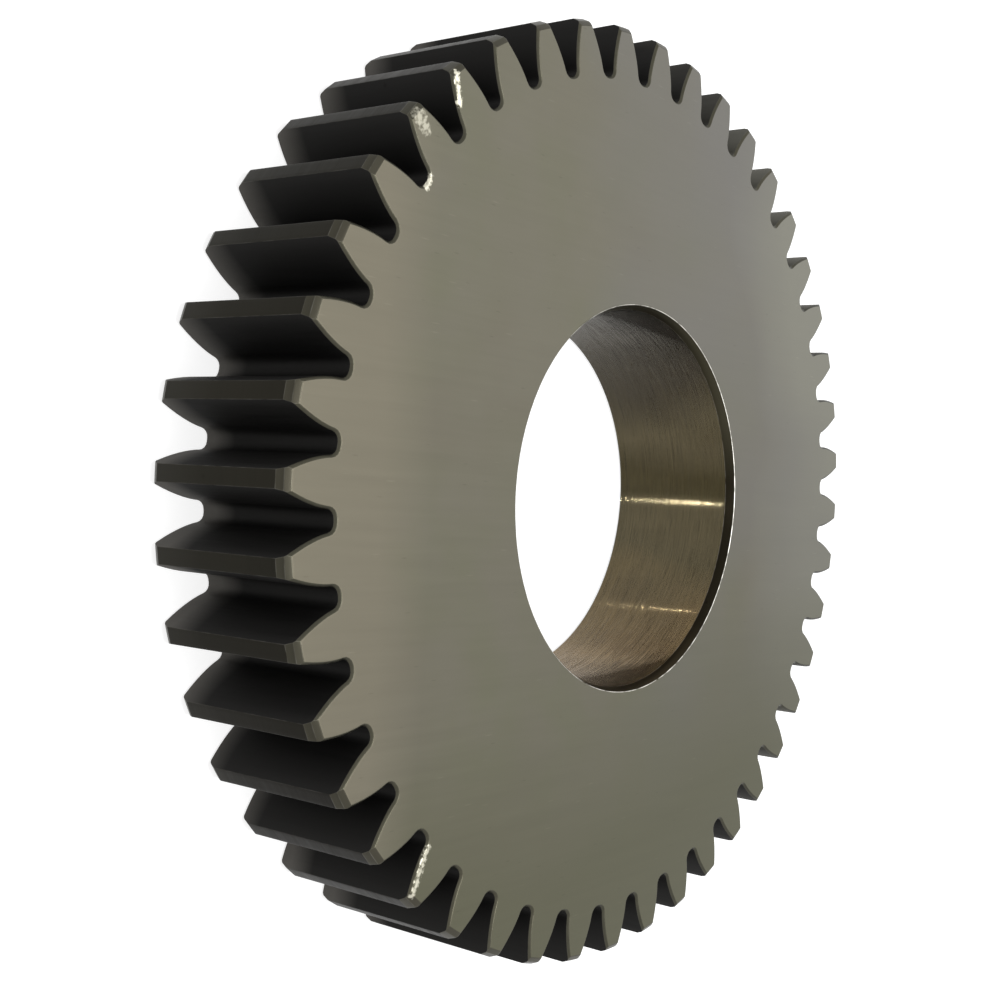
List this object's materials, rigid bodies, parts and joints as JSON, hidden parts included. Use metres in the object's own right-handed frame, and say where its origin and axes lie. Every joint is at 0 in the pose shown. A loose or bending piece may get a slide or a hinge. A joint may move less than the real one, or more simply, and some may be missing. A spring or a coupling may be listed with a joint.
{
  "type": "planet gear",
  "caption": "Flat spur planet gear in one piece, with involute teeth round its rim, bevelled tooth ends and a large plain bore for its bearing.",
  "frame": {"origin": "on the bore axis, in the plane of the back end face that the gear lies on", "axes": "+Z along the bore axis, from the back end face to the front end face; +X through the middle of a tooth"},
  "size_m": [0.23, 0.23, 0.039],
  "materials": {
    "ground_steel": "satin ground end faces, dark oiled tooth flanks and a cylindrically ground bore"
  },
  "bodies": {
    "root": {"planet_gear": "ground_steel"}
  },
  "joints": []
}
